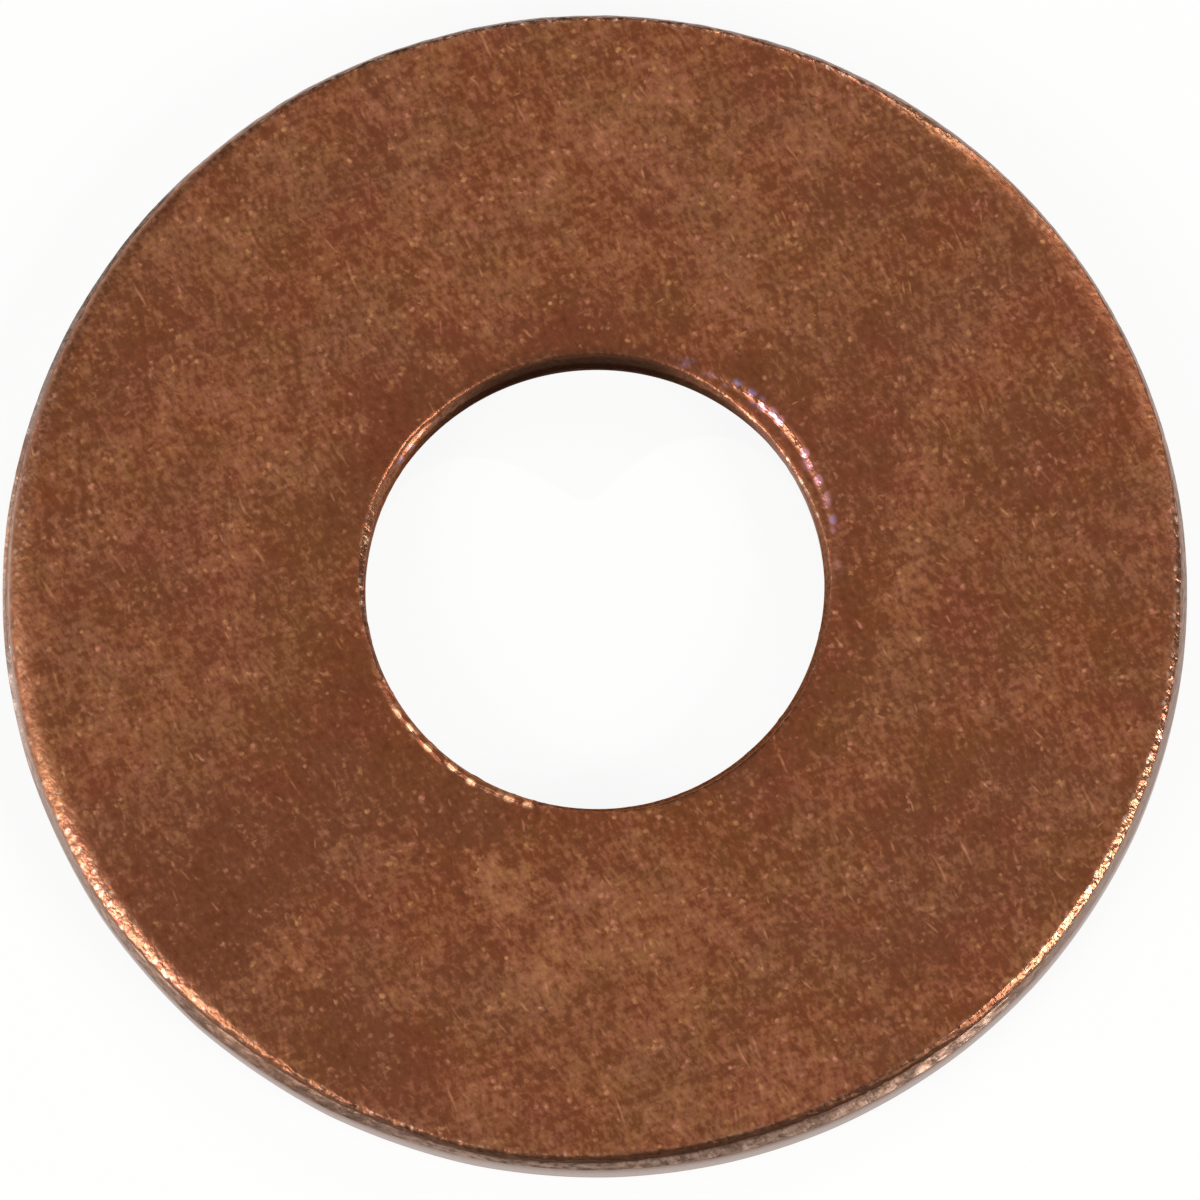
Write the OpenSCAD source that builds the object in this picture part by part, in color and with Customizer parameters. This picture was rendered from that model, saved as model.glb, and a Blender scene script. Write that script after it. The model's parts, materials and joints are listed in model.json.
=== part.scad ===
// Flat washer, pierced and then blanked out of bronze sheet, both from above.
// The origin is the centre of the lower face, and +Z runs along the bolt hole to the upper face.
// Piercing rolls the hole's upper edge over. Blanking rolls the outside's lower edge over.
// Each wall is smooth where it was sheared, and leans back where the metal broke away.

/* [Ring] */
// Outside diameter
outer_d = 22.2; // [16:0.1:40]
// Diameter of the bolt hole
hole_d = 8.6; // [4:0.05:12]
// Thickness of the sheet
thickness = 1.2; // [1:0.05:3]

/* [Punched edges] */
// Radius of the hole's rolled upper edge
hole_roll = 0.3; // [0.05:0.01:0.35]
// Radius of the outside's rolled lower edge
rim_roll = 0.2; // [0.05:0.01:0.3]
// Radius of the outside's worn upper edge
rim_wear = 0.18; // [0.05:0.01:0.25]
// Size of the break along the hole's lower edge
edge_break = 0.05; // [0.01:0.01:0.08]
// Height of the fracture zone in the hole's wall, from the lower face
hole_fracture_h = 0.53; // [0.3:0.01:0.6]
// Depth of the fracture zone in the outside wall, from the upper face
rim_fracture_h = 0.42; // [0.3:0.01:0.6]
// How far a fracture zone leans back from the smooth wall
fracture_lean = 0.08; // [0.01:0.01:0.12]

/* [Hidden] */
outer_r = outer_d / 2;
hole_r = hole_d / 2;
facets = 180;
arc_facets = 48;
sliver = 0.01;

// What a rounded edge lacks: a square corner less a quarter round, with the corner at the origin, pointing +X +Y.
module corner_waste(r) {
    translate([-r, -r])
        difference() {
            square(r + sliver);
            circle(r, $fn = arc_facets);
        }
}

// Half of the ring's section, in a plane through its axis.
module ring_section() {
    difference() {
        polygon([
            [hole_r + fracture_lean + edge_break, 0],
            [outer_r, 0],
            [outer_r, thickness - rim_fracture_h],
            [outer_r - fracture_lean, thickness - rim_wear],
            [outer_r - fracture_lean, thickness],
            [hole_r, thickness],
            [hole_r, hole_fracture_h],
            [hole_r + fracture_lean, edge_break]
        ]);
        translate([outer_r, 0]) mirror([0, 1]) corner_waste(rim_roll);
        translate([outer_r - fracture_lean, thickness]) corner_waste(rim_wear);
        translate([hole_r, thickness]) mirror([1, 0]) corner_waste(hole_roll);
    }
}

module washer() {
    color([0.48, 0.30, 0.20])
        rotate_extrude($fn = facets) ring_section();
}

washer();
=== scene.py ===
import json
import math
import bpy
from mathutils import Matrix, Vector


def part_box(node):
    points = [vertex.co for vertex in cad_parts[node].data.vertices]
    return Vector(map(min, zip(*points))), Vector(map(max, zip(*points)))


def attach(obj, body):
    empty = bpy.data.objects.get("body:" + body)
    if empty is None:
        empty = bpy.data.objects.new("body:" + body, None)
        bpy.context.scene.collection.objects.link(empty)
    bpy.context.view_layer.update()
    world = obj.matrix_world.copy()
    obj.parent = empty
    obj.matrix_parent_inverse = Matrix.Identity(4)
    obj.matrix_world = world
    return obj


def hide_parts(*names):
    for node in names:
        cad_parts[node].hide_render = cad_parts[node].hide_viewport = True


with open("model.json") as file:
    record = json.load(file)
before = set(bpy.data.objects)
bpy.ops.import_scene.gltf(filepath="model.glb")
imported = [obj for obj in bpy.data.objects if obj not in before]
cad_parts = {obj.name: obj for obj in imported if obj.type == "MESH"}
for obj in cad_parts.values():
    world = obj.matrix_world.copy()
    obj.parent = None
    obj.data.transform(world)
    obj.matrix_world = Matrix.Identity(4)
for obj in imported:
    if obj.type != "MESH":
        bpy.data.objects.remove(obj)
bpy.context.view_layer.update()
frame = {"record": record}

from types import SimpleNamespace

import bpy
import numpy as np
from mathutils import Matrix, Vector

# A stamped bronze washer lying on a pale table, seen from almost straight above.
# Lengths are metres in the shared frame, and those given in millimetres are multiplied by MM.
# Angles are degrees counter-clockwise from +X, seen from above.

MM = 0.001
node_low, node_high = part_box("washer")
bolt_hole = {m["name"]: m for m in frame["record"]["mounts"]}["bolt_hole"]

RIM_R = min(node_high.x, node_high.y, -node_low.x, -node_low.y)
HOLE_R = bolt_hole["dims"]["r_mm"] * MM
HOLE_BREAK_Z = bolt_hole["pos_m"][2] - bolt_hole["dims"]["length_mm"] * MM / 2
# The face lies this little below the CAD's, so that its relief stays inside the CAD's box.
SKIN = 0.012 * MM
FACE_Z = node_high.z - SKIN


# ---------------------------------------------------------------- sizes of the ring

SEGMENTS = 1440
TURN = np.arange(SEGMENTS)[:, None] * 2 * math.pi / SEGMENTS
QUARTER = math.pi / 2

# What each part of the surface is or has been through: rubbed bare, torn by the press, outer wall, wall of
# the hole and stained by heat; the last mark is painted shade. They become the mesh's attributes, from 0 to
# 1.
MARKS = ("worn", "torn", "wall", "bore", "stain", "grime")

# Sizes of the section in millimetres. A roll's length is measured along its curve.
RIM_ROLL = 0.30
RIM_LEAN = 0.085
RIM_BREAK_Z = 0.80
RIM_FOOT_W, RIM_FOOT_H = 0.09, 0.45
HOLE_ROLL = 0.62
HOLE_LEAN = 0.08
HOLE_FOOT = 0.05
# The hole is punched a little off centre, toward this angle, and a little tight.
HOLE_OFF_CENTRE, HOLE_OFF_ANGLE, HOLE_TIGHT = 0.036, 78.54, 0.016

# Stretches of the ring that differ from the rest: the angle of the middle, and the degrees to either side.
HOLE_DOUBLE = (38, 46)
HOLE_FAR = (96, 46)
HOLE_DINT = (140, 10)
HOLE_GENTLE = (178, 40)
HOLE_RUBBED = (182, 36)
HOLE_SHARP = (222, 90)
HOLE_BEADED = (230, 38)
HOLE_STAINED = (38, 42)
RIM_UPPER_RIGHT = (30, 42)
RIM_UPPER_LEFT = (143, 40)
RIM_BRIGHT = (175, 24)
RIM_LEFT = (184, 40)
RIM_LATE_BEND = (210, 45)
RIM_LOWER_LEFT = (213, 28)
RIM_DULL = (236, 26)
RIM_BOTTOM = (282, 52)
RIM_SHEARED_HIGH = (285, 70)
RIM_SHADE_HIGH = (298, 30)
RIM_LOWER_RIGHT = (333, 40)

# Humps, each with its height, its angle and the degrees to either side. The first three sets are in
# millimetres: how much longer the rim's roll is, how much more its torn zone leans, and how deep the roll is
# nicked. The rest say where the torn zone is rubbed smooth, and where roll and torn zone get painted shade.
RIM_ROLL_MORE = ((0.32, 213, 32), (0.60, 180, 32), (0.35, 148, 34), (0.25, 30, 45), (0.10, 330, 35))
RIM_LEAN_MORE = ((0.11, 236, 27), (0.12, 292, 36))
RIM_NICKS = ((0.030, 186, 0.9), (0.022, 219.5, 0.7), (0.02, 151, 1.0))
RIM_RUBBED = ((1.0, 188, 46), (1.0, 338, 42))
FAR_SIDE_SHADE, ROLL_SHADE = (0.8, 100, 48), (0.55, 238, 26)
TORN_SHADE_LEFT, TORN_SHADE_RIGHT = (0.95, 236, 30), (0.8, 301, 34)

# Rows of the mesh down each zone of the section
HOLE_FOOT_ROWS, HOLE_TORN_ROWS, HOLE_WALL_ROWS, HOLE_ROLL_ROWS = 2, 4, 2, 18
FACE_ROWS, UNDERSIDE_ROWS = 6, 3
RIM_ROLL_ROWS, RIM_TORN_ROWS, RIM_WALL_ROWS, RIM_FOOT_ROWS = 17, 6, 2, 6

# Small relief in millimetres: how rough the torn zones are, how deep the press dragged lines down the outer
# wall, how lumpy the hole's roll is, and how rough the rim's roll is where nothing smoothed it.
HOLE_TORN_RELIEF, RIM_TORN_RELIEF, RIM_DRAG = 0.010, 0.014, 0.003
HOLE_LUMPS, HOLE_BEADS, HOLE_FINE_LUMPS = 0.012, 0.010, 0.006
RIM_ROUGH = 0.013
# The outline is a little uneven, and drawn in most at this angle and opposite it, in millimetres.
RIM_UNEVEN, RIM_OVAL, RIM_OVAL_ANGLE = 0.012, 0.025, 25

# Where features of the hole's roll lie on the way from the face in, and how wide they are.
SECOND_CREST = (0.34, 0.11)
DINT = (0.74, 0.08)
RIDGE = (0.38, 0.16)
CREST_STAIN = (0.34, 0.14)
RIDGE_STAIN = (0.42, 0.22)

# Forms of the rim's roll, as bends from the face down: the degrees it turns, the shares of the way at which
# it starts and ends, and a power that makes it turn sooner where it is below 1.
BEVELLED_ROLL = ((31, 0.15, 0.60, 1), (59, 0.78, 1, 1))
BROAD_ROLL = ((30, 0, 0.76, 0.9), (59, 0.82, 1, 1))
SOFT_ROLL = ((12, 0, 0.70, 1), (78, 0.82, 1, 1))


# ---------------------------------------------------------------- shape of the ring

def hump(angle, width):
    """1 at that angle of the ring, falling smoothly to 0 at width degrees either side."""
    away = np.degrees(np.angle(np.exp(1j * (TURN - math.radians(angle)))))
    return 0.5 + 0.5 * np.cos(np.clip(away / width, -1, 1) * math.pi)


def humps(*places):
    """The sum of several humps, each given as its height, angle and width."""
    return sum(height * hump(angle, width) for height, angle, width in places)


def ripple(lowest, highest, seed):
    """A closed random line round the ring, about -1 to 1, with that many waves to the turn."""
    rng = np.random.default_rng(seed)
    line = np.zeros(TURN.shape)
    for waves in range(lowest, highest + 1):
        line += rng.normal() * np.cos(waves * TURN + rng.uniform(0, 2 * math.pi))
    return line / (2.2 * line.std())


def grain(rows, along, across, seed):
    """Random relief over some rows of the ring, about -1 to 1, soft over that many segments and rows."""
    rng = np.random.default_rng(seed)
    field = np.fft.fft2(rng.normal(size=(SEGMENTS, rows)))
    way_round = np.fft.fftfreq(SEGMENTS)[:, None]
    way_down = np.fft.fftfreq(rows)[None, :]
    field *= np.exp(-2 * math.pi ** 2 * ((way_round * along) ** 2 + (way_down * across) ** 2))
    field = np.fft.ifft2(field).real
    return field / (2.2 * field.std())


def steps(rows):
    """Shares of the way along one zone of the section, up to but not including its end."""
    return np.arange(rows)[None, :] / rows


def middles(rows):
    """Shares of the way along one zone of the section, at the middle of each row."""
    return (np.arange(rows)[None, :] + 0.5) / rows


def mixed(a, b, share):
    return a + (b - a) * share


def eased(share):
    share = np.clip(share, 0, 1)
    return share * share * (3 - 2 * share)


def rising(value, start, end):
    """0 where the value is below start and 1 where it is above end, with an eased step between."""
    return eased((value - start) / (end - start))


def bell(share, middle, width):
    return np.exp(-((share - middle) / width) ** 2)


def bends(share, turns):
    """Slope along a roll that turns down in the given bends."""
    return sum(math.radians(degrees) * rising(share, start, end) ** power
               for degrees, start, end, power in turns)


def walk(slope, length):
    """The ways in and down so far along a curve of that length whose slope is given row by row."""
    rows = slope.shape[1]
    return np.cumsum(np.cos(slope), axis=1) * length / rows, np.cumsum(np.sin(slope), axis=1) * length / rows


class Section:
    """The ring's section as rows of radius and height, with the marks of each row."""

    def __init__(self):
        self.r, self.z = [], []
        self.marks = {name: [] for name in MARKS}

    def add(self, r, z, **marks):
        whole = np.zeros((SEGMENTS, 1))
        r, z = np.broadcast_arrays(r + whole, z + whole)
        self.r.append(r)
        self.z.append(z)
        for name in MARKS:
            self.marks[name].append(np.broadcast_to(marks.get(name, 0.0) + whole, r.shape))

    def join(self, other):
        self.r += other.r
        self.z += other.z
        for name in MARKS:
            self.marks[name] += other.marks[name]


def ring_sizes():
    """Sizes of the walls, which differ from place to place round the ring."""
    size = SimpleNamespace()
    size.lean = (RIM_LEAN + humps(*RIM_LEAN_MORE) + 0.010 * ripple(2, 9, seed=31)) * MM
    size.rim_break_z = (RIM_BREAK_Z + 0.14 * hump(*RIM_SHEARED_HIGH)
                        + 0.03 * ripple(3, 40, seed=13) + 0.02 * ripple(40, 160, seed=14)) * MM
    size.foot_w, size.foot_h = RIM_FOOT_W * MM, RIM_FOOT_H * MM
    size.hole_break_z = HOLE_BREAK_Z + (0.04 * ripple(3, 24, seed=15) + 0.02 * ripple(24, 110, seed=16)) * MM
    size.hole_lean = HOLE_LEAN * MM
    size.hole_foot = HOLE_FOOT * MM
    size.hole_r = HOLE_R + (HOLE_OFF_CENTRE * np.cos(TURN - math.radians(HOLE_OFF_ANGLE)) - HOLE_TIGHT) * MM
    return size


def hole_roll_slope(share, far, double, beads):
    """Slope of the hole's roll from the face in: a gentle dip, a bend and a steep flank, then the wall.

    On one side a second crest comes before the bend, and on the opposite one the crest is a beaded ridge.
    """
    dip = math.radians(8) + math.radians(5) * far
    flank = math.radians(58) + math.radians(10) * far - math.radians(20) * hump(*HOLE_GENTLE)
    bend_at = 0.42 + 0.26 * double - 0.12 * far
    bend_over = 0.16 + 0.10 * double + 0.14 * far
    slope = dip * eased(share / 0.4) + (flank - dip) * rising(share, bend_at, bend_at + bend_over)
    slope = slope + (QUARTER - flank) * rising(share, 0.84, 1)
    slope = slope + 0.44 * double * bell(share, *SECOND_CREST)
    slope = slope - 0.42 * hump(*HOLE_DINT) * bell(share, *DINT)
    ridge = math.radians(25) * bell(share, *RIDGE) + QUARTER * rising(share, 0.72, 1)
    return mixed(slope, ridge, beads)


def hole_roll_marks(share, slope, far, double, beads):
    """Marks of the hole's roll: rubbed on its bend, stained on the second crest, the dint and the beads."""
    steep_from = 0.7 + 0.3 * double
    worn = rising(slope, 0.2, 0.6) * (1 - rising(slope, steep_from, steep_from + 0.3)) * (1 - far)
    worn = worn * (0.5 + humps((0.5, *HOLE_DOUBLE), (0.5, *HOLE_RUBBED)))
    stain = bell(share, *CREST_STAIN) * hump(*HOLE_STAINED) ** 0.6
    stain = stain + 0.8 * bell(share, *DINT) * hump(*HOLE_DINT)
    stain = stain + bell(share, *RIDGE_STAIN) * beads
    bore = rising(slope, 0.7, 1.0) * (1 - 0.8 * double)
    # the far side's roll gets painted shade, strongest toward the wall
    return {"worn": worn, "stain": stain, "bore": bore, "grime": far * eased(1.4 * share)}


def add_hole(shape, size):
    """The hole from its foot up: worn lower edge, torn zone, sheared wall and rolled upper edge."""
    # the far side of the hole, which has its own shape and painted shade on its wall and roll
    far = eased(1.5 * hump(*HOLE_FAR))
    double = hump(*HOLE_DOUBLE)
    beads = eased(2 * hump(*HOLE_BEADED))

    foot_r = size.hole_r + size.hole_lean + size.hole_foot
    bend = steps(HOLE_FOOT_ROWS) * QUARTER
    shape.add(foot_r - size.hole_foot * np.sin(bend), size.hole_foot * (1 - np.cos(bend)), torn=0.5)

    share = steps(HOLE_TORN_ROWS)
    torn = HOLE_TORN_RELIEF * MM * np.abs(grain(HOLE_TORN_ROWS, 1.6, 1.0, seed=23)) * np.sin(share * math.pi)
    z = mixed(size.hole_foot, size.hole_break_z, share)
    shape.add(size.hole_r + size.hole_lean * (1 - share) + torn, z, torn=1, bore=1, grime=0.6 * far)

    # the roll is walked from the face in, and then laid down from its foot up to the face
    share = middles(HOLE_ROLL_ROWS)
    slope = hole_roll_slope(share, far, double, beads)
    sharp = eased(1.3 * hump(*HOLE_SHARP))
    length = (HOLE_ROLL + 0.10 * double - 0.33 * sharp + 0.03 * ripple(2, 12, seed=12)) * MM
    level, drop = walk(slope, length)
    foot_z = FACE_Z - drop[:, -1:]
    z = mixed(size.hole_break_z, foot_z, steps(HOLE_WALL_ROWS))
    shape.add(size.hole_r, z, bore=1 - 0.8 * double, grime=far)

    slope, level, drop, share = slope[:, ::-1], level[:, ::-1], drop[:, ::-1], share[:, ::-1]
    lumps = (HOLE_LUMPS + HOLE_BEADS * beads) * grain(HOLE_ROLL_ROWS, 4.2, 3.0, seed=44)
    lumps = lumps + HOLE_FINE_LUMPS * grain(HOLE_ROLL_ROWS, 1.3, 1.3, seed=46)
    relief = lumps * MM * eased(slope / 0.5) * (slope < 1.2) * (1 - 0.7 * far)
    r = size.hole_r + (level[:, :1] - level) + relief * np.sin(slope)
    marks = hole_roll_marks(share, slope, far, double, beads)
    shape.add(r, FACE_Z - drop + relief * np.cos(slope), **marks)
    return size.hole_r + level[:, :1]


def add_face(shape, inner_r, outer_r):
    share = 0.5 - 0.5 * np.cos(steps(FACE_ROWS) * math.pi)
    shape.add(mixed(inner_r, outer_r, share), FACE_Z)


def rim_roll_slope(share):
    """Slope of the rim's roll from the face down, whose form changes from side to side."""
    slope = QUARTER * share ** (1.5 + 0.7 * hump(*RIM_LATE_BEND))
    slope = mixed(slope, bends(share, BEVELLED_ROLL), hump(*RIM_LOWER_RIGHT))
    slope = mixed(slope, bends(share, BROAD_ROLL), eased(1.3 * hump(*RIM_LOWER_LEFT)))
    return mixed(slope, bends(share, SOFT_ROLL), eased(1.4 * hump(*RIM_UPPER_RIGHT)))


def rim_roll_relief(slope):
    """Lumps and nicks of the rim's roll, square to it, which are least at the left and the lower right."""
    left = hump(*RIM_LEFT)
    rough = (RIM_ROUGH - 0.0075 * left - 0.008 * hump(*RIM_LOWER_RIGHT)
             - 0.007 * hump(*RIM_LOWER_LEFT) * (1 - left) - 0.010 * hump(*RIM_UPPER_LEFT)) * MM
    grains = 0.95 * grain(RIM_ROLL_ROWS, 0.9, 1.2, seed=41) + 0.35 * grain(RIM_ROLL_ROWS, 3.0, 1.2, seed=45)
    nicks = humps(*RIM_NICKS) * MM
    return rough * (grains - 0.3) * eased(slope / 0.6) - nicks * np.sin(slope * 1.4) ** 2


def rim_roll_marks(slope, left, bottom, bright, rubbed):
    """Marks of the rim's roll: rubbed bare where it turns down, and torn or smooth where it is steep."""
    worn = rising(slope, 0.05, 0.55) * (1 - rising(slope, 0.85, 1.35)) * (1 - 0.75 * left)
    worn = worn * (1 - 0.95 * bottom * rising(slope, 0.3, 0.5)) * (1 - 0.35 * hump(*RIM_UPPER_RIGHT))
    worn = worn * (1 - 0.6 * hump(*RIM_DULL)) * (1 - 0.95 * hump(*RIM_UPPER_LEFT))
    # painted shade on the roll: its steep part at the far side, the near side from a gentler slope, and
    # almost all of it at the lower left
    shaded_from = 0.35 - 0.25 * hump(*RIM_SHADE_HIGH)
    grime = humps(FAR_SIDE_SHADE) * rising(slope, 0.4, 0.8)
    grime = grime + bottom * rising(slope, shaded_from, shaded_from + 0.3)
    grime = np.minimum(1, grime + humps(ROLL_SHADE) * eased(slope / 0.3))
    steep = rising(slope, 1.0 - 0.2 * left, 1.4 - 0.2 * left)
    return {"worn": np.maximum(worn, steep * bright), "torn": steep * (1 - 0.8 * rubbed),
            "wall": steep * rubbed, "grime": grime}


def add_rim(shape, size):
    """The outer edge from the face down: rolled upper edge, torn zone, sheared wall, rolled lower edge."""
    left = hump(*RIM_LEFT)
    bottom = eased(1.6 * hump(*RIM_BOTTOM))
    bright = 0.8 * hump(*RIM_BRIGHT)
    rubbed = np.minimum(1, humps(*RIM_RUBBED) + 0.6 * left)

    slope = rim_roll_slope(middles(RIM_ROLL_ROWS))
    length = (RIM_ROLL + humps(*RIM_ROLL_MORE) + 0.02 * ripple(2, 30, seed=11)) * MM
    level, drop = walk(slope, length)
    relief = rim_roll_relief(slope)
    top_r = RIM_R - size.lean
    face_r = top_r - level[:, -1:]
    marks = rim_roll_marks(slope, left, bottom, bright, rubbed)
    shape.add(face_r + level + relief * np.sin(slope), FACE_Z - drop + relief * np.cos(slope), **marks)

    share = middles(RIM_TORN_ROWS)
    torn = RIM_TORN_RELIEF * MM * np.abs(grain(RIM_TORN_ROWS, 1.6, 1.0, seed=22))
    torn = torn * np.sin(share * math.pi) ** 0.5
    z = mixed(FACE_Z - drop[:, -1:], size.rim_break_z, share)
    # painted shade on the torn zone at the lower left and lower right, and at the near side close to its top
    grime = humps(TORN_SHADE_LEFT) + humps(TORN_SHADE_RIGHT) * (1 - 0.4 * share)
    grime = np.maximum(0.9 * bottom * (1 - eased(share / 0.35)), grime)
    r = top_r + size.lean * share ** 0.8 - torn
    shape.add(r, z, torn=1 - 0.8 * rubbed, wall=1, worn=bright, grime=grime)

    drag = RIM_DRAG * MM * np.abs(ripple(80, 400, seed=21))
    shape.add(RIM_R - drag, mixed(size.rim_break_z, size.foot_h, steps(RIM_WALL_ROWS)), wall=1)

    bend = steps(RIM_FOOT_ROWS) * QUARTER
    shape.add(RIM_R - size.foot_w * (1 - np.cos(bend)), size.foot_h * (1 - np.sin(bend)), wall=1)
    return face_r


def add_underside(shape, size):
    foot_r = HOLE_R + size.hole_lean + size.hole_foot
    shape.add(mixed(RIM_R - size.foot_w, foot_r, steps(UNDERSIDE_ROWS)), 0)


def uneven_rim(r, outer_r):
    """The radii with the outer edge drawn in a little, here more and there less."""
    oval = 1 + np.cos(2 * (TURN - math.radians(RIM_OVAL_ANGLE)))
    lack = (RIM_UNEVEN * np.abs(ripple(2, 14, seed=51)) + RIM_OVAL * oval) * MM
    return r - lack * eased((r - 0.9 * outer_r) / (0.1 * RIM_R))


def ring_mesh(r, z):
    """A closed mesh from the rows of the section, each joined to the next, and the last to the first."""
    rows = r.shape[1]
    points = np.stack([r * np.cos(TURN), r * np.sin(TURN), z], axis=2).reshape(-1, 3)
    around = np.arange(SEGMENTS)[:, None] * rows
    beyond = (np.arange(SEGMENTS)[:, None] + 1) % SEGMENTS * rows
    row = np.arange(rows)[None, :]
    after = (row + 1) % rows
    quads = np.stack([around + row, around + after, beyond + after, beyond + row], axis=2).reshape(-1, 4)
    mesh = bpy.data.meshes.new("bronze_ring")
    mesh.from_pydata(points.tolist(), [], quads.tolist())
    mesh.shade_smooth()
    return mesh


def build_washer():
    size = ring_sizes()
    shape, rim = Section(), Section()
    inner_r = add_hole(shape, size)
    outer_r = add_rim(rim, size)
    add_face(shape, inner_r, outer_r)
    shape.join(rim)
    add_underside(shape, size)
    r = uneven_rim(np.minimum(np.concatenate(shape.r, axis=1), RIM_R), outer_r)
    mesh = ring_mesh(r, np.clip(np.concatenate(shape.z, axis=1), 0, node_high.z))
    for name in MARKS:
        values = np.concatenate(shape.marks[name], axis=1).reshape(-1)
        mesh.attributes.new(name, "FLOAT", "POINT").data.foreach_set("value", values.astype(np.float32))
    ring = bpy.data.objects.new("bronze_ring", mesh)
    bpy.context.scene.collection.objects.link(ring)
    return ring


# ---------------------------------------------------------------- material

# angle, length and width in millimetres, and the share of places that hold a mark
SCRATCH_SETS = (
    (-50, 0.75, 0.030, 0.13),
    (-68, 0.60, 0.026, 0.13),
    (-30, 0.50, 0.028, 0.08),
    (-85, 0.60, 0.028, 0.06),
    (35, 0.45, 0.024, 0.05),
    (-64, 1.50, 0.036, 0.10),
)

# places on the face that are paler, partly as painted highlight, or darker where negative: middle, reach in
# millimetres, strength
PATCHES = (
    (-1.75, -5.65, 0.8, 0.17), (-0.65, -7.15, 0.6, 0.17), (1.6, -8.0, 0.6, 0.08), (0.3, -7.0, 4.0, 0.03),
    (-0.5, 8.0, 4.5, 0.04), (5.8, 6.2, 3.0, -0.03), (-6.2, -5.6, 3.4, -0.07), (6.6, -4.6, 3.4, -0.05),
    (-3.8, -9.3, 1.6, -0.06), (-7.6, -6.6, 1.4, -0.06), (-5.6, -7.2, 0.9, 0.07), (-6.6, -6.4, 0.9, -0.07),
    (-4.7, -8.6, 1.0, -0.07), (-2.9, -6.7, 0.9, 0.05),
)

# noises: how many to the millimetre, detail, roughness and, where it isn't 0, distortion
CLOUD_NOISE = (0.55, 2.0, 0.6)
MOTTLE_NOISE = (1.9, 4.0, 0.8, 0.1)
SPECKLE_NOISE = (8.0, 1.5, 0.6, 0.1)
STREAK_NOISE = (4.5, 3.0, 0.7)
STREAK_RANGE, STREAK_STRETCH = (0.36, 0.60), 4.0
# cells to the millimetre, each of which holds one glint, dent or point of heat stain
GLINT_CELLS, DENT_CELLS, STAIN_CELLS = 8.0, 6.5, 3.8
# points: cells to the millimetre, their size in cells, and the share of cells that hold one
POINT_CELLS, POINT_SIZE, POINT_SHARE = 2.4, 0.13, 0.14
# the range of a noise over which one brown passes into another
HUE_RANGE = (0.26, 0.74)

# the way that the tumbled metal's marks mostly run
GRAIN_ANGLE = -50
FIBRE_ANGLES = (GRAIN_ANGLE, -80, 20)
FIBRE_LENGTH, FIBRE_WIDTH = 0.22, 0.055

# how strongly each layer of the tarnish lightens or darkens it, and a power that keeps few glints bright
CLOUDS, MOTTLE, FELT, SPECKLE = 0.40, 0.36, 0.85, 0.45
GLINTS, LINES, POINTS = 0.60, 0.40, 0.75
GLINT_POWER = 5.0
# sums of the layers over which dark tarnish passes into plain, and plain into pale
DARK_RANGE, PALE_RANGE = (-0.60, 0.05), (-0.05, 0.80)
# how far the clouds, and the paler patches, shift the metal toward olive and toward pink
CLOUD_OLIVE, CLOUD_PINK, PATCH_OLIVE, PATCH_PINK = 1.5, 0.8, -2.5, -2.0
# a dull band round the hole: its strength, and where it is full and where it ends, outside the hole's edge
DULL_BAND, DULL_FULL, DULL_END = 0.11, 0.4, 1.9

RED_BROWN, OLIVE_BROWN = (0.295, 0.084, 0.040, 1), (0.258, 0.102, 0.044, 1)
GOLD_BROWN, PINK_BROWN = (0.294, 0.103, 0.034, 1), (0.289, 0.090, 0.050, 1)
DARK_TARNISH = (0.15, 0.040, 0.014, 1)
PALE_PINK, PALE_GOLD = (0.82, 0.35, 0.21, 1), (0.77, 0.38, 0.155, 1)
BARE_PINK, BARE_YELLOW = (0.92, 0.46, 0.38, 1), (0.95, 0.69, 0.50, 1)
TORN_DARK, TORN_PALE = (0.22, 0.14, 0.10, 1), (0.50, 0.34, 0.27, 1)
# the smooth outer wall's colours: its foot darkened as painted contact shade, then low down and high up
WALL_FOOT_SHADE, WALL_LOW, WALL_HIGH = (0.24, 0.13, 0.085, 1), (0.48, 0.40, 0.36, 1), (0.37, 0.27, 0.23, 1)
WALL_RUBBED = (0.95, 0.72, 0.60, 1)
# the hole's wall is darker than the outer wall, partly tarnish and partly painted shade
BORE_DARK, BORE_PALE = (0.15, 0.062, 0.034, 1), (0.27, 0.125, 0.075, 1)
STAIN_PINK, STAIN_VIOLET, STAIN_ORANGE = (0.66, 0.30, 0.34, 1), (0.44, 0.38, 0.70, 1), (1.0, 0.54, 0.31, 1)
STAIN_GROUND = (0.26, 0.09, 0.05, 1)
# the dark brown of painted shade, laid where the surface lies in shade
PAINTED_SHADE_COLOUR = (0.085, 0.040, 0.024, 1)
# white, and for the hole's wall a tint that dims its grazing reflections as painted shade
WHITE, BORE_SHADE_TINT = (1, 1, 1, 1), (0.45, 0.27, 0.19, 1)
# how fully the painted shade covers the colour under it
PAINTED_SHADE_COVER = 0.85
# heights in millimetres over which the outer wall passes from its foot's painted shade to the low colour,
# and from that to the high one
FOOT_RISE, WALL_RISE = (0.05, 0.45), (0.25, 0.85)
# roughness, and what the speckle, wear and stain add to it
ROUGHNESS, SPECKLE_ROUGH, WORN_ROUGH, STAIN_ROUGH = 0.46, 0.25, -0.14, -0.05
BUMP_STRENGTH, BUMP_DEPTH, WORN_BUMP = 0.6, 0.01 * MM, 4.0


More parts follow.
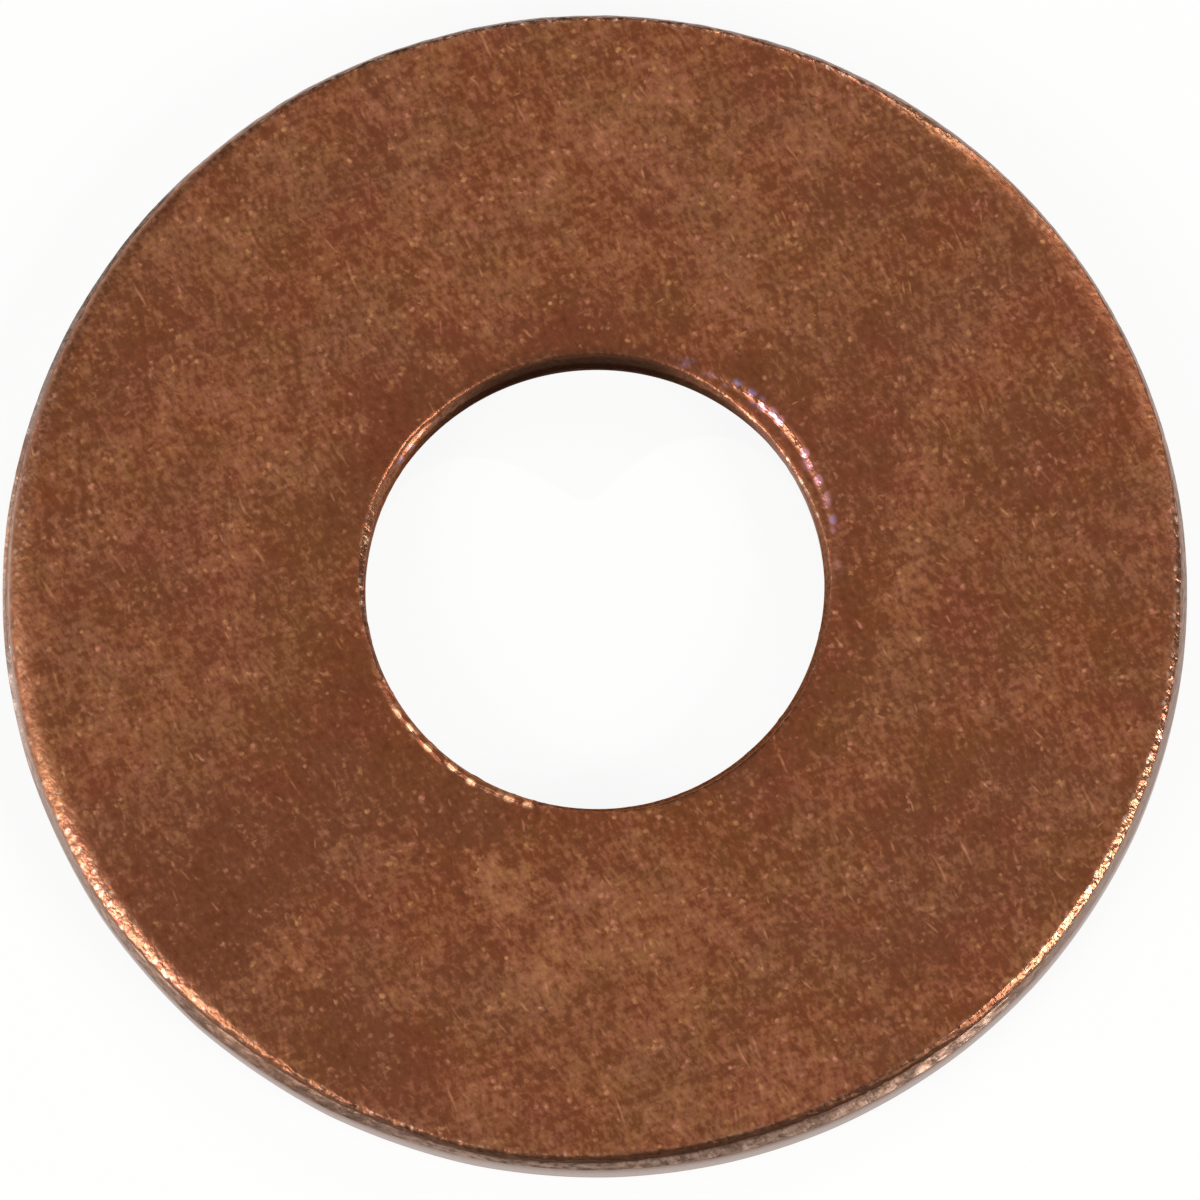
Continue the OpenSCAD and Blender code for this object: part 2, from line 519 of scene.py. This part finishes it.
class Net:
    """The node tree of a material or of the world, with short calls for the kinds of node used here."""

    def __init__(self, owner, shader="Principled BSDF"):
        owner.use_nodes = True
        self.owner = owner
        self.tree = owner.node_tree
        self.shader = self.tree.nodes[shader]

    def node(self, kind, **settings):
        made = self.tree.nodes.new(kind)
        for key, value in settings.items():
            setattr(made, key, value)
        return made

    def feed(self, socket, value):
        """Links value if it is a socket, and sets it if it is a number or a colour."""
        if isinstance(value, bpy.types.NodeSocket):
            self.tree.links.new(value, socket)
        else:
            socket.default_value = value

    def math(self, operation, a, b=0.0):
        made = self.node("ShaderNodeMath", operation=operation)
        self.feed(made.inputs[0], a)
        self.feed(made.inputs[1], b)
        return made.outputs[0]

    def total(self, values):
        whole = values[0]
        for value in values[1:]:
            whole = self.math("ADD", whole, value)
        return whole

    def times(self, a, b):
        return self.math("MULTIPLY", a, b)

    def centred(self, value, amount):
        return self.times(self.math("SUBTRACT", value, 0.5), amount)

    def vector(self, operation, a, b=(0, 0, 0)):
        made = self.node("ShaderNodeVectorMath", operation=operation)
        self.feed(made.inputs[0], a)
        self.feed(made.inputs["Scale"] if operation == "SCALE" else made.inputs[1], b)
        return made.outputs["Value"] if operation in ("LENGTH", "DOT_PRODUCT") else made.outputs["Vector"]

    def split(self, value, colour=False):
        made = self.node("ShaderNodeSeparateColor" if colour else "ShaderNodeSeparateXYZ")
        self.feed(made.inputs[0], value)
        return made.outputs[0], made.outputs[1], made.outputs[2]

    def joined(self, **parts):
        made = self.node("ShaderNodeCombineXYZ")
        for key, value in parts.items():
            self.feed(made.inputs[key], value)
        return made.outputs["Vector"]

    def mask(self, name):
        return self.node("ShaderNodeAttribute", attribute_name=name).outputs["Fac"]

    def noise(self, place, scale, detail, roughness, distortion=0.0):
        made = self.node("ShaderNodeTexNoise")
        for key, value in (("Vector", place), ("Scale", scale), ("Detail", detail),
                           ("Roughness", roughness), ("Distortion", distortion)):
            self.feed(made.inputs[key], value)
        return made.outputs["Fac"], made.outputs["Color"]

    def ramp(self, value, low, high, out_low=0.0, out_high=1.0, smooth=True):
        made = self.node("ShaderNodeMapRange", interpolation_type="SMOOTHSTEP" if smooth else "LINEAR")
        for key, number in (("Value", value), ("From Min", low), ("From Max", high),
                            ("To Min", out_low), ("To Max", out_high)):
            self.feed(made.inputs[key], number)
        return made.outputs["Result"]

    def blend(self, share, a, b):
        made = self.node("ShaderNodeMix", data_type="RGBA")
        self.feed(made.inputs["Factor"], share)
        self.feed(made.inputs["A"], a)
        self.feed(made.inputs["B"], b)
        return made.outputs["Result"]


def turned(net, place, angle):
    made = net.node("ShaderNodeVectorRotate", rotation_type="Z_AXIS")
    net.feed(made.inputs["Vector"], place)
    made.inputs["Angle"].default_value = math.radians(-angle)
    return made.outputs["Vector"]


def along_grain(net, place, squeeze):
    """Coordinates in which noise comes out longer along the grain than across it."""
    return net.vector("MULTIPLY", turned(net, place, GRAIN_ANGLE), (1, squeeze, 1))


def cells(net, place, scale):
    made = net.node("ShaderNodeTexVoronoi", feature="F1")
    net.feed(made.inputs["Vector"], place)
    made.inputs["Scale"].default_value = scale
    return made.outputs["Distance"], made.outputs["Color"]


def scratches(net, place, angle, length, width, share):
    """Short straight marks at one angle, as 1 on the mark: stretched cells, of which only some show."""
    stretched = net.vector("MULTIPLY", turned(net, place, angle), (1 / length, 1 / (width * 5), 1))
    away, lot = cells(net, stretched, 1.0)
    chance, strength, _ = net.split(lot, colour=True)
    line = net.ramp(away, 0.05, 0.25, 1.0, 0.0)
    return net.times(net.times(line, net.math("LESS_THAN", chance, share)), strength)


def all_scratches(net, place):
    lines = None
    for angle, length, width, share in SCRATCH_SETS:
        mark = scratches(net, place, angle, length, width, share)
        lines = mark if lines is None else net.math("MAXIMUM", lines, mark)
    return lines


def specks(net, place, scale, size, share):
    """Small round points, as 1 on the point, of which only that share of the cells hold one."""
    away, lot = cells(net, place, scale)
    chance, strength, _ = net.split(lot, colour=True)
    point = net.ramp(away, size * 0.3, size, 1.0, 0.0)
    return net.times(net.times(point, net.math("LESS_THAN", chance, share)), strength)


def fibres(net, place):
    """A felt of fine fibres that cross at a few angles, about 0 to 1."""
    layers = []
    for k, angle in enumerate(FIBRE_ANGLES):
        turned_place = turned(net, net.vector("ADD", place, (7.0 * k, 0, 0)), angle)
        along = net.vector("MULTIPLY", turned_place, (1, FIBRE_LENGTH / FIBRE_WIDTH, 1))
        value, _ = net.noise(along, 0.5 / FIBRE_LENGTH, 1.0, 0.6)
        layers.append(value)
    return net.times(net.total(layers), 1 / len(layers))


def patches(net, place, ragged):
    """How much paler the face is in its patches, partly painted highlight, which have soft ragged edges."""
    paler = []
    for x, y, reach, strength in PATCHES:
        away = net.vector("LENGTH", net.vector("SUBTRACT", place, (x, y, FACE_Z / MM)))
        edge = net.math("ADD", away, net.centred(ragged, -2.2 * reach))
        paler.append(net.ramp(edge, 0.2 * reach, 1.2 * reach, strength, 0.0))
    return net.total(paler)


def round_the_ring(net, place, stretch):
    """Coordinates along the rim in millimetres, with height stretched, for noise that runs round it."""
    x, y, z = net.split(place)
    rim = net.vector("SCALE", net.vector("NORMALIZE", net.joined(X=x, Y=y)), RIM_R / MM)
    return net.vector("ADD", rim, net.joined(Z=net.times(z, stretch)))


def tarnish(net, place):
    """Colour of the flat faces, and the relief, speckle and mottle that go with it."""
    clouds, cloud_hue = net.noise(place, *CLOUD_NOISE)
    warp = net.vector("ADD", place, net.vector("SCALE", cloud_hue, 0.5))
    mottle, mottle_hue = net.noise(along_grain(net, place, 1.25), *MOTTLE_NOISE)
    speckle, speckle_hue = net.noise(along_grain(net, place, 1.3), *SPECKLE_NOISE)
    felt = fibres(net, warp)

    # glints: the middles of small cells, strong in a few of them and only in the paler mottle
    shaken = net.vector("ADD", place, net.vector("SCALE", speckle_hue, 0.12))
    close, lot = cells(net, shaken, GLINT_CELLS)
    _, shine, shine_hue = net.split(lot, colour=True)
    glint = net.times(net.math("POWER", shine, GLINT_POWER), net.ramp(close, 0.15, 0.60, 1.0, 0.0))
    glints = net.times(glint, net.ramp(mottle, 0.35, 0.62))
    points = specks(net, place, POINT_CELLS, POINT_SIZE, POINT_SHARE)
    lines = all_scratches(net, warp)
    paler = patches(net, place, mottle)
    radius = net.vector("LENGTH", net.vector("MULTIPLY", place, (1, 1, 0)))
    dull = net.ramp(radius, HOLE_R / MM + DULL_FULL, HOLE_R / MM + DULL_END, DULL_BAND, 0.0)
    light = net.total([net.centred(clouds, CLOUDS), net.centred(mottle, MOTTLE), net.centred(felt, FELT),
                       net.centred(speckle, SPECKLE), net.times(glints, GLINTS), net.times(lines, LINES),
                       net.times(points, POINTS), paler, net.times(dull, -1.0)])

    # four browns that drift into each other, then darker or paler by the sum of the layers
    _, olive_share, pink_share = net.split(net.blend(0.35, mottle_hue, speckle_hue), colour=True)
    _, wide_olive, wide_pink = net.split(cloud_hue, colour=True)
    olive_shift = [net.centred(wide_olive, CLOUD_OLIVE), net.times(paler, PATCH_OLIVE)]
    pink_shift = [net.centred(wide_pink, CLOUD_PINK), net.times(paler, PATCH_PINK)]
    olive_share, pink_share = net.total([olive_share, *olive_shift]), net.total([pink_share, *pink_shift])
    colour = net.blend(net.ramp(olive_share, *HUE_RANGE), RED_BROWN, OLIVE_BROWN)
    colour = net.blend(0.5, colour, net.blend(net.ramp(pink_share, *HUE_RANGE), GOLD_BROWN, PINK_BROWN))
    colour = net.blend(net.ramp(light, *DARK_RANGE, 1.0, 0.0, smooth=False), colour, DARK_TARNISH)
    pale = net.blend(shine_hue, PALE_PINK, PALE_GOLD)
    colour = net.blend(net.ramp(light, *PALE_RANGE, smooth=False), colour, pale)
    relief = net.total([net.times(speckle, 1.2), net.times(mottle, 0.5)])
    return colour, relief, speckle, mottle


def rubbed_bare(net, place, worn, mottle, colour):
    """The colour with bare metal showing in patches where it is worn."""
    away, lot = cells(net, place, DENT_CELLS)
    _, strength, hue = net.split(lot, colour=True)
    dents = net.ramp(away, 0.15, 0.5, 1.0, 0.0)
    patchy = net.times(dents, net.ramp(net.total([strength, net.centred(mottle, 0.6)]), 0.25, 0.65))
    bare = net.times(worn, net.total([net.times(patchy, 0.75), 0.12]))
    metal = net.blend(net.ramp(hue, 0.1, 0.6), BARE_PINK, BARE_YELLOW)
    return net.blend(bare, colour, metal)


def walls(net, height, marks, streaks, colour):
    """The colour with the outer wall, dashed where it tore and smooth elsewhere, and the hole's wall."""
    dashed = net.blend(net.ramp(streaks, *STREAK_RANGE), TORN_DARK, TORN_PALE)
    smooth = net.blend(net.ramp(height, *WALL_RISE), WALL_LOW, WALL_HIGH)
    # the foot of the wall darkened: painted contact shade
    smooth = net.blend(net.ramp(height, *FOOT_RISE), WALL_FOOT_SHADE, smooth)
    wall = net.blend(marks["torn"], smooth, dashed)
    wall = net.blend(marks["worn"], wall, WALL_RUBBED)
    colour = net.blend(marks["wall"], colour, wall)
    # the hole's wall is darker than the outer one: partly tarnish, partly painted shade
    inner = net.blend(net.ramp(streaks, *STREAK_RANGE), BORE_DARK, BORE_PALE)
    return net.blend(marks["bore"], colour, inner)


def heat_stained(net, place, side, stain, colour):
    """The colour with heat stain, as points on a dark ground: pink and violet at +Y, orange at -Y."""
    beside, lot = cells(net, place, STAIN_CELLS)
    _, showing, tint = net.split(lot, colour=True)
    points = net.blend(net.ramp(tint, 0.45, 0.75), STAIN_PINK, STAIN_VIOLET)
    points = net.blend(net.ramp(side, -1.0, 1.0), STAIN_ORANGE, points)
    drop = net.ramp(beside, 0.26, 0.50, 1.0, 0.0)
    ground = net.blend(net.times(stain, 0.75), colour, STAIN_GROUND)
    shown = net.times(stain, net.times(drop, net.ramp(showing, 0.0, 0.35, 0.35, 1.0)))
    return net.blend(shown, ground, points)


def bronze():
    net = Net(bpy.data.materials.new("tumbled_bronze"))
    place = net.vector("SCALE", net.node("ShaderNodeTexCoord").outputs["Object"], 1 / MM)
    marks = {name: net.mask(name) for name in MARKS}
    _, side, height = net.split(place)
    streaks, _ = net.noise(round_the_ring(net, place, STREAK_STRETCH), *STREAK_NOISE)

    colour, relief, speckle, mottle = tarnish(net, place)
    colour = rubbed_bare(net, place, marks["worn"], mottle, colour)
    colour = walls(net, height, marks, streaks, colour)
    colour = heat_stained(net, place, side, marks["stain"], colour)
    # painted shade: dark brown where the shade mark is
    colour = net.blend(net.times(marks["grime"], PAINTED_SHADE_COVER), colour, PAINTED_SHADE_COLOUR)
    net.feed(net.shader.inputs["Base Color"], colour)

    rough = net.total([ROUGHNESS, net.centred(speckle, SPECKLE_ROUGH),
                       net.times(marks["worn"], WORN_ROUGH), net.times(marks["stain"], STAIN_ROUGH)])
    net.feed(net.shader.inputs["Roughness"], rough)
    net.shader.inputs["Metallic"].default_value = 1.0
    # a brownish tint dims the reflections of the hole's wall: painted shade
    net.feed(net.shader.inputs["Specular Tint"], net.blend(marks["bore"], WHITE, BORE_SHADE_TINT))

    worn_bump = net.times(marks["worn"], net.times(speckle, WORN_BUMP))
    edges = net.total([net.times(marks["torn"], streaks), worn_bump])
    bump = net.node("ShaderNodeBump")
    bump.inputs["Strength"].default_value = BUMP_STRENGTH
    bump.inputs["Distance"].default_value = BUMP_DEPTH
    net.feed(bump.inputs["Height"], net.total([relief, edges]))
    net.feed(net.shader.inputs["Normal"], bump.outputs["Normal"])
    return net.owner


# ---------------------------------------------------------------- table, light and camera

TABLE_SIDE = 6.0
TABLE_COLOUR, CARD_COLOUR = (0.06, 0.06, 0.06, 1), (0.05, 0.05, 0.05, 1)
# how brightly the table glows for the camera, and for reflections in its bright pools and away from them
TABLE_SEEN, POOL_GLOW, FAR_GLOW = 0.90, 0.86, 0.25
# its two pools, round the washer and to its left: where each starts and ends fading, and how far left the
# second one lies, all in rim radii
NEAR_POOL, LEFT_POOL, LEFT_POOL_AT = (1.05, 1.45), (1.6, 2.5), 1.2

# the black card, which paints shade into the reflections of the hole's far wall: the angle of the middle of
# the crescent, its greatest width and its height off the table, the radius of its outer edge, just under the
# washer, and how many strips it has
CARD_ANGLE, CARD_WIDTH, CARD_LIFT = 95, 2.4 * MM, 0.004 * MM
CARD_R, CARD_STRIPS = 1.02 * HOLE_R, 60

# name, angle and elevation in degrees, distance and size in metres, watts, and colour
SOFTBOXES = (
    ("left_softbox", 215, 32, 0.35, (0.16, 0.10), 0.72, (1, 0.96, 0.91)),
    ("right_softbox", 330, 30, 0.35, (0.16, 0.10), 1.0, (1, 0.96, 0.91)),
    ("far_softbox", 60, 38, 0.4, (0.12, 0.10), 0.36, (1, 0.97, 0.94)),
)

STUDIO_DIM, STUDIO_SEEN = 0.12, 0.95

# direction of each glow, the cosines at which it starts and is full, and its strength: the ceiling, a big
# soft screen to the left, one low at the left, and a faint one far to the right
STUDIO_GLOWS = (
    ((0.0, 0.32, 0.95), 0.72, 0.97, 0.35),
    ((-0.80, -0.20, 0.56), 0.62, 0.97, 0.75),
    ((-0.99, -0.15, 0.05), 0.80, 0.98, 0.75),
    ((0.60, 0.45, 0.66), 0.84, 0.99, 0.20),
)

# the camera leans off the washer's axis by the tilt, toward this angle, and looks a little beside the middle
CAMERA_TILT, CAMERA_SIDE = 13.4, 275
CAMERA_DISTANCE = 30 * RIM_R
CAMERA_LENS, CAMERA_SENSOR = 536.0, 36
CAMERA_CLIP = (0.001, 10)
CAMERA_RIGHT, CAMERA_DOWN = 0.0103 * RIM_R, 0.0266 * RIM_R


def flat_mesh(name, corners, faces):
    mesh = bpy.data.meshes.new(name)
    mesh.from_pydata(corners, [], faces)
    made = bpy.data.objects.new(name, mesh)
    bpy.context.scene.collection.objects.link(made)
    return made


def add_table():
    """A glowing white table, which the camera sees bright all over, and reflections only in two pools."""
    half = TABLE_SIDE / 2
    corners = [(-half, -half, 0), (half, -half, 0), (half, half, 0), (-half, half, 0)]
    table = flat_mesh("table", corners, [(0, 1, 2, 3)])
    net = Net(bpy.data.materials.new("pale_table"))
    net.shader.inputs["Base Color"].default_value = TABLE_COLOUR
    net.shader.inputs["Roughness"].default_value = 0.9
    net.shader.inputs["Emission Color"].default_value = WHITE
    place = net.node("ShaderNodeTexCoord").outputs["Object"]
    pools = []
    for left, (full, end) in ((0, NEAR_POOL), (LEFT_POOL_AT, LEFT_POOL)):
        away = net.vector("LENGTH", net.vector("SUBTRACT", place, (-left * RIM_R, 0, 0)))
        pools.append(net.ramp(away, RIM_R * full, RIM_R * end, POOL_GLOW, FAR_GLOW))
    pool = net.math("MAXIMUM", *pools)
    seen = net.node("ShaderNodeLightPath").outputs["Is Camera Ray"]
    net.feed(net.shader.inputs["Emission Strength"], net.ramp(seen, 0, 1, pool, TABLE_SEEN, smooth=False))
    table.data.materials.append(net.owner)


def add_card():
    """A black crescent close to the hole's far wall, as photographers use: shade painted into reflections
    only.
    """
    corners, faces = [], []
    for k, off in enumerate(np.linspace(-QUARTER, QUARTER, CARD_STRIPS + 1)):
        angle = math.radians(CARD_ANGLE) + off
        width = CARD_WIDTH * max(0, math.cos(off)) ** 6
        for r in (CARD_R, HOLE_R - width):
            corners.append((r * math.cos(angle), r * math.sin(angle), CARD_LIFT))
        if k:
            faces.append((2 * k - 2, 2 * k - 1, 2 * k + 1, 2 * k))
    card = flat_mesh("black_card", corners, faces)
    card.visible_camera = False
    card.visible_shadow = False
    net = Net(bpy.data.materials.new("black_card"))
    net.shader.inputs["Base Color"].default_value = CARD_COLOUR
    card.data.materials.append(net.owner)


def add_softbox(name, angle, elevation, distance, size, power, colour):
    light = bpy.data.lights.new(name, "AREA")
    light.shape = "RECTANGLE"
    light.size, light.size_y = size
    light.energy = power
    light.color = colour
    box = bpy.data.objects.new(name, light)
    bpy.context.scene.collection.objects.link(box)
    a, e = math.radians(angle), math.radians(elevation)
    box.location = Vector((math.cos(a) * math.cos(e), math.sin(a) * math.cos(e), math.sin(e))) * distance
    box.rotation_mode = "QUATERNION"
    box.rotation_quaternion = (box.location - Vector((0, 0, FACE_Z))).to_track_quat("Z", "Y")


def add_world():
    """A studio dim low down, with a few broad glows, and white for the camera."""
    world = bpy.data.worlds.new("studio")
    bpy.context.scene.world = world
    net = Net(world, "Background")
    direction = net.node("ShaderNodeTexCoord").outputs["Generated"]
    light = STUDIO_DIM
    for toward, edge, middle, strength in STUDIO_GLOWS:
        facing = net.vector("DOT_PRODUCT", direction, Vector(toward).normalized())
        light = net.math("ADD", net.ramp(facing, edge, middle, 0.0, strength), light)
    seen = net.node("ShaderNodeLightPath").outputs["Is Camera Ray"]
    net.feed(net.shader.inputs["Strength"], net.ramp(seen, 0, 1, light, STUDIO_SEEN, smooth=False))
    net.shader.inputs["Color"].default_value = WHITE


def add_camera():
    """A long lens far above the washer, which leans so that a little of the outer wall shows."""
    tilt, side = math.radians(CAMERA_TILT), math.radians(CAMERA_SIDE)
    back = Vector((math.sin(tilt) * math.cos(side), math.sin(tilt) * math.sin(side), math.cos(tilt)))
    right = Vector((0, 1, 0)).cross(back).normalized()
    up = back.cross(right)
    data = bpy.data.cameras.new("camera")
    data.sensor_width = CAMERA_SENSOR
    data.lens = CAMERA_LENS
    data.clip_start, data.clip_end = CAMERA_CLIP
    camera = bpy.data.objects.new("camera", data)
    bpy.context.scene.collection.objects.link(camera)
    target = Vector((0, 0, node_high.z)) + right * CAMERA_RIGHT - up * CAMERA_DOWN
    turn = Matrix((right, up, back)).transposed()
    camera.matrix_world = Matrix.Translation(target + back * CAMERA_DISTANCE) @ turn.to_4x4()
    bpy.context.scene.camera = camera


add_camera()
add_table()
add_card()
add_world()
for softbox in SOFTBOXES:
    add_softbox(*softbox)
bpy.context.scene.view_settings.view_transform = "Standard"

ring = build_washer()
ring.data.materials.append(bronze())
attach(ring, "root")
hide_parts("washer")
